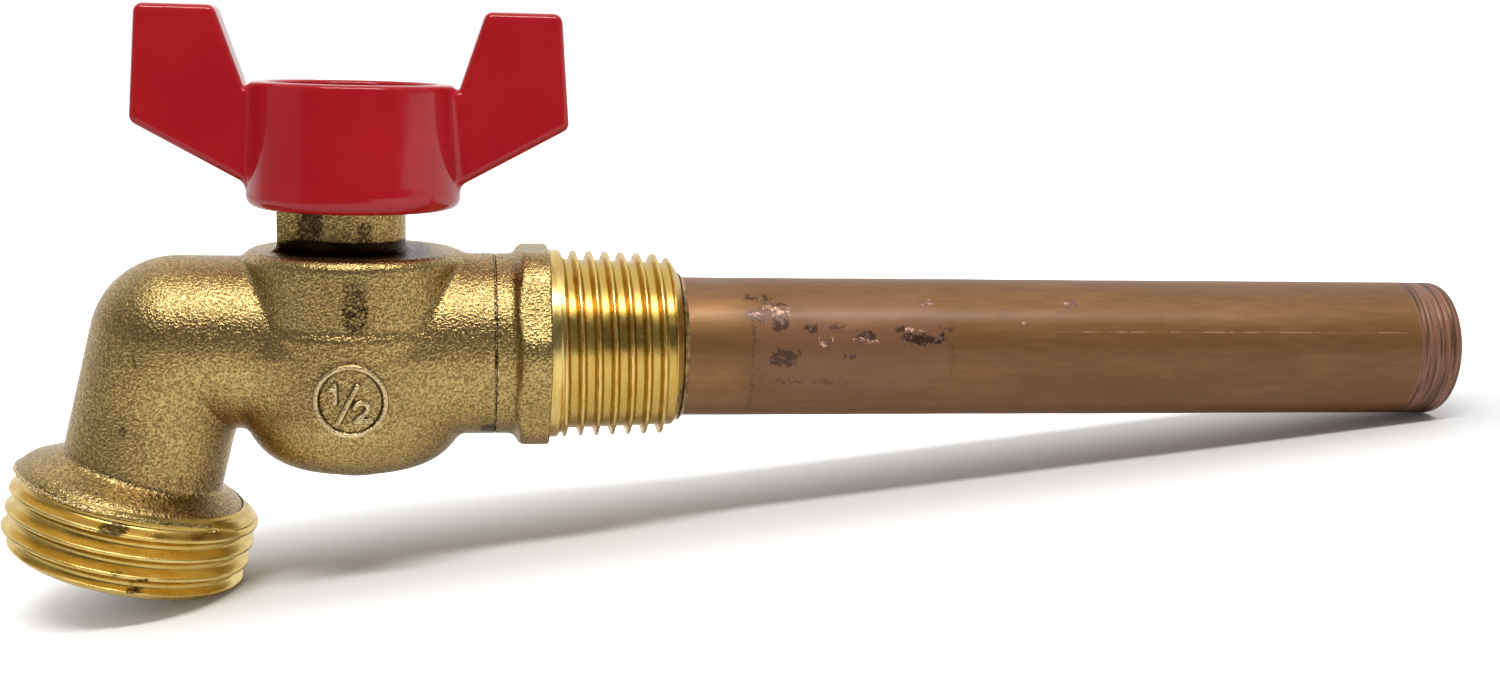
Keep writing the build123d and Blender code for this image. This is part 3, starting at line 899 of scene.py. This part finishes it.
class Look(NodeTree):
    """A material and its shader."""

    def __init__(self, name, metallic, roughness):
        self.material = bpy.data.materials.new(name)
        super().__init__(self.material)
        self.shader = self.tree.nodes["Principled BSDF"].inputs
        self.shader["Metallic"].default_value = metallic
        self.shader["Roughness"].default_value = roughness
        self.place = self.node("ShaderNodeTexCoord", {}, "Object")

    def noise(self, size, detail, roughness, stretch=(1.0, 1.0, 1.0), output=0):
        """Noise with cells of this many millimetres, drawn out where the stretch is under 1."""
        place = self.vector("MULTIPLY", self.place, Vector(stretch))
        return self.node("ShaderNodeTexNoise", {
            "Vector": place, "Scale": 1 / (size * MM), "Detail": detail, "Roughness": roughness}, output)

    def blend(self, share, first, second):
        """A colour between two others."""
        return self.node("ShaderNodeMix", {0: share, 6: first, 7: second}, 2, data_type="RGBA")

    def bump(self, height, depth, strength, normal=None):
        """The normal bent by a height map that is this many millimetres deep."""
        inputs = {"Height": height, "Distance": depth * MM, "Strength": strength}
        if normal is not None:
            inputs["Normal"] = normal
        return self.node("ShaderNodeBump", inputs)

    def measured(self, name):
        """A number that the mesh carries at each point."""
        return self.node("ShaderNodeAttribute", {}, "Fac", attribute_name=name)

    def offsets(self):
        """The point's three offsets from the ball's centre, in millimetres."""
        moved = self.vector("SUBTRACT", self.place, Vector(BALL) * MM)
        return self.split(self.node("ShaderNodeVectorMath", {0: moved, "Scale": 1 / MM}, operation="SCALE"))

    def jags(self, size):
        """Three separate noises of the same size, each about zero."""
        noise = self.noise(size, 4.0, 0.75, output="Color")
        return self.split(self.vector("SUBTRACT", noise, Vector((0.5, 0.5, 0.5))))

    def off(self, value, middle, half):
        """How far a value is from a middle, where 1 is a half size."""
        return self.maths("ABSOLUTE", self.maths("DIVIDE", self.maths("SUBTRACT", value, middle), half))

    def finish(self, colour, roughness, normal):
        """Connects what varies to the shader, and gives the material."""
        self.feed(self.shader["Base Color"], colour)
        self.feed(self.shader["Roughness"], roughness)
        self.feed(self.shader["Normal"], normal)
        return self.material


def stained_and_shaded(look, colour, stains, stain_and_shade_colour):
    """A colour with speckled dark marks on it: stains, and where a table lists them, painted shade and a
    painted reflection.
    """
    speckle = look.noise(0.36, 4.0, 0.75)
    for centre, half_sizes, cover in stains:
        point = Vector(np.array(centre) + BALL) * MM
        away = look.vector("DIVIDE", look.vector("SUBTRACT", look.place, point), Vector(half_sizes) * MM)
        away = look.vector("MULTIPLY", away, away)
        away = look.node("ShaderNodeVectorMath", {0: away}, 1, operation="LENGTH")
        inside = look.between(away, 1.6, 0.2, 0.0, cover)
        share = look.between(look.maths("ADD", speckle, inside), 0.9, 1.12, 0.0, min(cover + 0.3, 1.0))
        colour = look.blend(share, colour, stain_and_shade_colour)
    return colour


def make_cast_brass():
    """Blasted brass: khaki grain with bright facets, painted shade in the corners, and dark marks that are
    stains, painted shade and a painted reflection.
    """
    look = Look("cast_brass", 1.0, 0.4)
    grain = look.noise(0.28, 2.0, 0.55)
    coarse = look.noise(1.3, 2.0, 0.6)
    mottle = look.noise(6.0, 2.0, 0.5)
    colour = look.blend(look.between(grain, 0.3, 0.7), (0.22, 0.142, 0.046), (0.64, 0.452, 0.174))
    colour = look.blend(look.between(mottle, 0.35, 0.7, 0.0, 0.3), colour, (0.335, 0.232, 0.102))
    # Painted shade: darker in corners and creases, where the surface is hemmed in
    corner_shade = look.between(look.maths("MULTIPLY_ADD", coarse, 0.3, look.measured("crevice")), 0.55, 1.1)
    colour = look.blend(corner_shade, colour, (0.06, 0.036, 0.016))
    # Brighter on convex edges: wear, and on the size mark, whose measures are strengthened, a painted
    # highlight along the strokes' crests
    worn = look.between(look.maths("MULTIPLY_ADD", grain, 0.6, look.measured("edge")), 0.75, 1.1, 0.0, 0.6)
    colour = look.blend(worn, colour, (0.95, 0.78, 0.45))
    # The casting's table mixes stains with painted shade and a painted reflection
    colour = stained_and_shaded(look, colour, CASTING_STAINS_AND_SHADE, (0.035, 0.02, 0.01))
    off_seam = look.maths("ABSOLUTE", look.maths("SUBTRACT", look.offsets()[0], seam_line_x))
    off_seam = look.maths("MULTIPLY_ADD", grain, 0.12, off_seam)
    seam = look.between(off_seam, seam_line_fade, seam_line_core, 0.0, 0.75)
    colour = look.blend(seam, colour, (0.04, 0.026, 0.014))
    roughness = look.between(grain, 0.3, 0.7, 0.36, 0.21)
    normal = look.bump(coarse, 0.05, 0.5)
    normal = look.bump(grain, 0.12, 1.0, normal)
    return look.finish(colour, roughness, normal)


def make_cut_brass(name, turn, round_the_axis, stains):
    """Turned brass with streaks round its axis, and painted shade that darkens the thread's roots."""
    look = Look(name, 1.0, 0.3)
    place = look.place
    look.place = look.node("ShaderNodeVectorRotate", {"Vector": place, "Angle": turn}, rotation_type="Y_AXIS")
    streaks = look.noise(0.5, 3.0, 0.6, round_the_axis)
    cloud = look.noise(2.5, 3.0, 0.6)
    speck = look.noise(0.35, 2.0, 0.6)
    colour = look.blend(look.between(streaks, 0.3, 0.7), (0.65, 0.44, 0.114), (0.83, 0.627, 0.231))
    # Painted shade: darker towards the roots of the thread
    root = look.between(look.maths("MULTIPLY_ADD", cloud, 0.35, look.measured("depth")), 0.4, 1.1, 0.0, 0.7)
    colour = look.blend(root, colour, (0.56, 0.36, 0.075))
    colour = look.blend(look.between(speck, 0.7, 0.8, 0.0, 0.5), colour, (0.2, 0.11, 0.03))
    look.place = place
    colour = stained_and_shaded(look, colour, stains, (0.035, 0.022, 0.02))
    roughness = look.between(cloud, 0.3, 0.7, 0.23, 0.34)
    normal = look.bump(streaks, 0.008, 0.6)
    normal = look.bump(speck, 0.005, 0.4, normal)
    return look.finish(colour, roughness, normal)


def make_red_enamel():
    """Glossy red enamel with a slight orange peel, thin and scuffed on the sharpest edges."""
    look = Look("red_enamel", 0.0, 0.1)
    look.shader["Specular IOR Level"].default_value = 0.38
    peel = look.noise(1.6, 2.0, 0.5)
    cloud = look.noise(9.0, 3.0, 0.5)
    scuff = look.noise(0.5, 3.0, 0.7)
    colour = look.blend(look.between(cloud, 0.3, 0.7), (0.45, 0.0095, 0.0145), (0.51, 0.0125, 0.019))
    worn = look.between(look.maths("MULTIPLY_ADD", scuff, 1.2, look.measured("edge")), 1.3, 1.5, 0.0, 0.6)
    colour = look.blend(worn, colour, (0.5, 0.05, 0.06))
    roughness = look.between(scuff, 0.3, 0.75, 0.07, 0.13)
    return look.finish(colour, roughness, look.bump(peel, 0.03, 0.35))


def make_worn_copper():
    """Dull copper: brown streaks, a rubbed patch with dark flakes, painted glints, a long pale line and a
    scored cut end.
    """
    look = Look("worn_copper", 1.0, 0.6)
    look.shader["Coat Weight"].default_value = 0.35
    look.shader["Coat Roughness"].default_value = 0.3
    x, y, z = look.offsets()
    angle = look.maths("DEGREES", look.maths("ARCTAN2", look.maths("MULTIPLY", y, -1.0), z))
    streaks = look.noise(0.6, 3.0, 0.6, (0.15, 1.0, 1.0))
    cloud = look.noise(6.0, 3.0, 0.6, (0.4, 1.0, 1.0))
    rings = look.noise(0.4, 3.0, 0.6, (1.0, 0.05, 0.05))
    fine = look.noise(0.3, 3.0, 0.65)
    colour = look.blend(look.between(streaks, 0.25, 0.75), (0.23, 0.108, 0.041), (0.292, 0.147, 0.058))
    colour = look.blend(look.between(cloud, 0.35, 0.7, 0.0, 0.6), colour, (0.262, 0.13, 0.045))
    colour = look.blend(look.between(fine, 0.6, 0.72, 0.0, 0.5), colour, (0.14, 0.07, 0.035))
    scored = look.blend(look.between(rings, 0.38, 0.6), (0.12, 0.06, 0.042), (0.36, 0.18, 0.12))
    jag_along, jag_around, ragged = look.jags(0.8)
    uneven = look.maths("MULTIPLY_ADD", ragged, 0.8, x)
    cut_end = look.between(uneven, scored_edge, scored_edge + scored_fade, 0.0, 0.9)
    colour = look.blend(cut_end, colour, scored)
    # Painted glints: lighter rims on the dark flakes and bright spots in the glinting marks
    flake_glint = look.between(jag_along, 0.02, 0.1, 0.0, 0.8)
    glint_share = look.between(jag_around, 0.03, 0.1)
    tones = {
        "dark": look.blend(flake_glint, (0.06, 0.03, 0.023), (0.34, 0.2, 0.14)),
        "glinting": look.blend(glint_share, (0.24, 0.115, 0.075), (0.88, 0.55, 0.4)),
        "rubbed": (0.3, 0.15, 0.095)}
    raised = 0.0
    station = look.maths("MULTIPLY_ADD", jag_along, 3.0, x)
    turned = look.maths("MULTIPLY_ADD", jag_around, 22.0, angle)
    for middle, degrees, half_length, half_height, strength, kind in TUBE_MARKS:
        along = look.off(x if kind == "rubbed" else station, middle, half_length)
        around = look.off(turned, degrees, half_height)
        spread = look.maths("ADD", look.maths("POWER", along, 3.0), look.maths("POWER", around, 3.0))
        share = look.between(look.maths("MULTIPLY_ADD", ragged, 1.5, spread), 1.0, 0.8, 0.0, strength)
        colour = look.blend(share, colour, tones[kind])
        if kind != "rubbed":
            raised = look.maths("MAXIMUM", raised, share)
    middle, degrees, half_length, half_height = PALE_LINE
    far_off = look.maths("MAXIMUM", look.off(x, middle, half_length), look.off(angle, degrees, half_height))
    on_line = look.between(far_off, 1.0, 0.6)
    broken = look.between(look.noise(1.2, 3.0, 0.7, (0.5, 1.0, 1.0)), 0.48, 0.56, 0.15, 0.8)
    colour = look.blend(look.maths("MULTIPLY", on_line, broken), colour, (0.62, 0.38, 0.24))
    near_thread = look.between(x, smooth_until, rough_from, -0.15, 0.0)
    roughness = look.maths("ADD", look.between(cloud, 0.3, 0.7, 0.6, 0.72), near_thread)
    normal = look.bump(streaks, 0.03, 0.5)
    normal = look.bump(fine, 0.03, 0.5, normal)
    normal = look.bump(look.noise(0.5, 4.0, 0.8), 0.12, raised, normal)
    return look.finish(colour, roughness, normal)


def make_plain(name, metallic, roughness, light, dark, size, depth):
    """A material of the smaller parts: two tones by noise, with a slight bump."""
    look = Look(name, metallic, roughness)
    noise = look.noise(size, 3.0, 0.6)
    colour = look.blend(look.between(noise, 0.3, 0.7), dark, light)
    rough = look.between(noise, 0.3, 0.7, roughness * 0.8, min(1.0, roughness * 1.25))
    return look.finish(colour, rough, look.bump(noise, depth, 0.6))


cast_brass = make_cast_brass()
hose_brass = make_cut_brass("hose_brass", -outlet_tilt, (0.12, 0.12, 1.0), HOSE_STAINS)
pipe_brass = make_cut_brass("pipe_brass", 0.0, (1.0, 0.12, 0.12), PIPE_STAINS)
red_enamel = make_red_enamel()
worn_copper = make_worn_copper()
torn_brass = make_plain("torn_brass", 1.0, 0.45, (1.0, 0.88, 0.62), (0.85, 0.66, 0.34), 0.3, 0.02)


def paint(material, *node_names):
    """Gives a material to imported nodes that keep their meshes."""
    for name in node_names:
        nodes[name].data.materials[0] = material


paint(make_plain("braze_metal", 1.0, 0.4, (0.66, 0.47, 0.2), (0.22, 0.14, 0.06), 0.8, 0.08), "braze_joint")
paint(make_plain("bright_chrome", 1.0, 0.08, (0.72, 0.73, 0.75), (0.62, 0.63, 0.65), 3.0, 0.002), "ball")
paint(make_plain("turned_brass", 1.0, 0.28, (0.85, 0.6, 0.24), (0.68, 0.44, 0.14), 0.8, 0.01),
      "stem", "gland_nut")
paint(make_plain("zinc_steel", 1.0, 0.3, (0.62, 0.62, 0.6), (0.42, 0.42, 0.41), 1.0, 0.02),
      "lock_washer", "handle_nut")
paint(make_plain("white_ptfe", 0.0, 0.5, (0.82, 0.81, 0.78), (0.74, 0.73, 0.7), 2.0, 0.01),
      "outlet_seat", "inlet_seat", "thrust_washer", "packing_ring_1", "packing_ring_2")
paint(make_plain("black_rubber", 0.0, 0.6, (0.03, 0.03, 0.03), (0.018, 0.018, 0.018), 0.8, 0.02),
      "stem_o_ring")


def place_piece(piece, slot, *replaced, body="valve"):
    """Rides a piece on its body and hides the CAD nodes it stands for. The slot argument is not used."""
    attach(piece, body)
    for name in replaced:
        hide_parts(name)


place_piece(casting("body_casting", body_distance, BODY_BOX, casting_cell, cast_brass),
            "forged_brass", "valve_body")
place_piece(casting("size_mark", mark_distance, MARK_BOX, mark_cell, cast_brass, mark_reach, mark_reach,
                    mark_gain), "forged_brass")
place_piece(casting("adapter_casting", adapter_distance, ADAPTER_BOX, casting_cell, cast_brass),
            "forged_brass", "inlet_adapter")
place_piece(casting("handle_casting", handle_distance, HANDLE_BOX, handle_cell, red_enamel),
            "red_enamel", "handle", body="turning_set")
place_piece(lathe_piece(
    "hose_thread", hose_radius_at, np.linspace(hose_run_in - sleeve_overlap, hose_end, hose_rows),
    thread_turns, from_the_outlet, [
        (mouth_radius + mouth_chamfer, hose_end), (mouth_radius, hose_end - mouth_chamfer),
        (mouth_radius, hose_end - mouth_depth)], hose_brass), "turned_brass")
place_piece(torn_edge("torn_edge", torn_brass), "turned_brass")
place_piece(lathe_piece(
    "pipe_thread", pipe_radius_at, np.linspace(hexagon_end, pipe_end, pipe_rows), thread_turns,
    along_the_pipe, [(socket_radius + socket_gap, pipe_end), (socket_radius + socket_gap, socket_stop)],
    pipe_brass), "turned_brass")
place_piece(lathe_piece(
    "copper_stub", tube_radius_at, tube_stations(), tube_turns, along_x, [
        (tube_bore_radius + bore_chamfer, tube_end), (tube_bore_radius, tube_end - bore_chamfer_length),
        (tube_bore_radius, socket_stop), (tube_radius, socket_stop)], worn_copper), "copper", "copper_tube")


def make_camera():
    """The camera at the photograph's place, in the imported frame."""
    data = bpy.data.cameras.new("camera")
    camera = add_object("camera", data)
    forward = camera_forward.normalized()
    up = camera_right.normalized().cross(forward).normalized()
    right = forward.cross(up)
    turned = Matrix((right, up, -forward)).transposed().to_4x4()
    camera.matrix_world = Matrix.Translation(camera_place * MM) @ turned
    data.sensor_width = 36
    data.lens = camera_lens
    data.shift_x, data.shift_y = camera_shift
    data.clip_start = 0.01
    data.clip_end = 100
    bpy.context.scene.camera = camera


def make_floor():
    """The white table under the outlet's rim and the tube's end. It fades to pure white."""
    rim = Vector(from_the_outlet(hose_radius - hose_chamfer, 0, hose_end)[0] + BALL)
    heel = Vector(np.array((tube_end, 0, -tube_radius)) + BALL)
    along = (heel - rim).normalized()
    left, right = -table_far * along, table_far * along
    front, back = Vector((0, table_front, 0)), Vector((0, table_far, 0))
    mesh = bpy.data.meshes.new("floor")
    mesh.from_pydata([left + front, right + front, right + back, left + back], [], [(0, 1, 2, 3)])
    floor = add_object("floor", mesh)
    floor.location = (rim + heel) / 2 * MM
    look = Look("white_table", 0.0, 0.7)
    x, y = look.split(look.place)[:2]
    half = (heel - rim).length / 2 * MM
    beyond = look.maths("MAXIMUM", look.maths("SUBTRACT", look.maths("ABSOLUTE", x), half), 0.0)
    squares = look.maths("ADD", look.maths("POWER", beyond, 2.0), look.maths("MULTIPLY", y, y))
    white = look.between(look.maths("SQRT", squares), 0.0, fade_width, least_white, 1.0)
    direct, mirrored = look.rays()
    seen = look.maths("MULTIPLY_ADD", mirrored, mirrored_share, direct)
    look.feed(look.shader["Emission Color"], (1.0, 1.0, 1.0))
    look.feed(look.shader["Emission Strength"], look.maths("MULTIPLY", white, seen))
    tone = look.blend(look.noise(3.0, 2.0, 0.5), (0.83, 0.825, 0.81), (0.85, 0.845, 0.835))
    look.feed(look.shader["Base Color"], tone)
    floor.data.materials.append(look.material)


def make_world():
    """White for the camera and, behind the part, in reflections. Else pale overhead and dim in front."""
    world = bpy.data.worlds.new("surround")
    bpy.context.scene.world = world
    look = NodeTree(world)
    x, y, z = look.split(look.node("ShaderNodeTexCoord", {}, "Generated"))
    away = look.maths("ABSOLUTE", look.maths("ARCTAN2", x, y))
    side = look.between(away, side_end, front_start, side_level, front_level)
    beside = look.between(away, back_end, side_start)
    level = look.mix(beside, back_level, side)
    level = look.mix(look.between(z, sin(level_end), sin(top_start)), level, top_level)
    direct, mirrored = look.rays()
    behind = look.maths("SUBTRACT", 1.0, beside)
    level = look.mix(look.maths("MULTIPLY_ADD", mirrored, behind, direct), level, 1.0)
    background = look.tree.nodes["Background"].inputs
    look.feed(background["Strength"], level)
    look.feed(background["Color"], (1.0, 1.0, 1.0))


def make_lamp():
    """A wide, low softbox high in front of the valve and aimed at it."""
    data = bpy.data.lights.new("key", "AREA")
    data.shape = "RECTANGLE"
    data.size = lamp_width
    data.size_y = lamp_height
    data.energy = lamp_power
    lamp = add_object("key", data)
    away = Vector((0.0, -cos(lamp_elevation), sin(lamp_elevation)))
    lamp.location = away * lamp_distance
    lamp.rotation_mode = "QUATERNION"
    lamp.rotation_quaternion = away.to_track_quat("Z", "Y")


make_camera()
make_floor()
make_world()
make_lamp()
bpy.context.scene.view_settings.view_transform = "Standard"
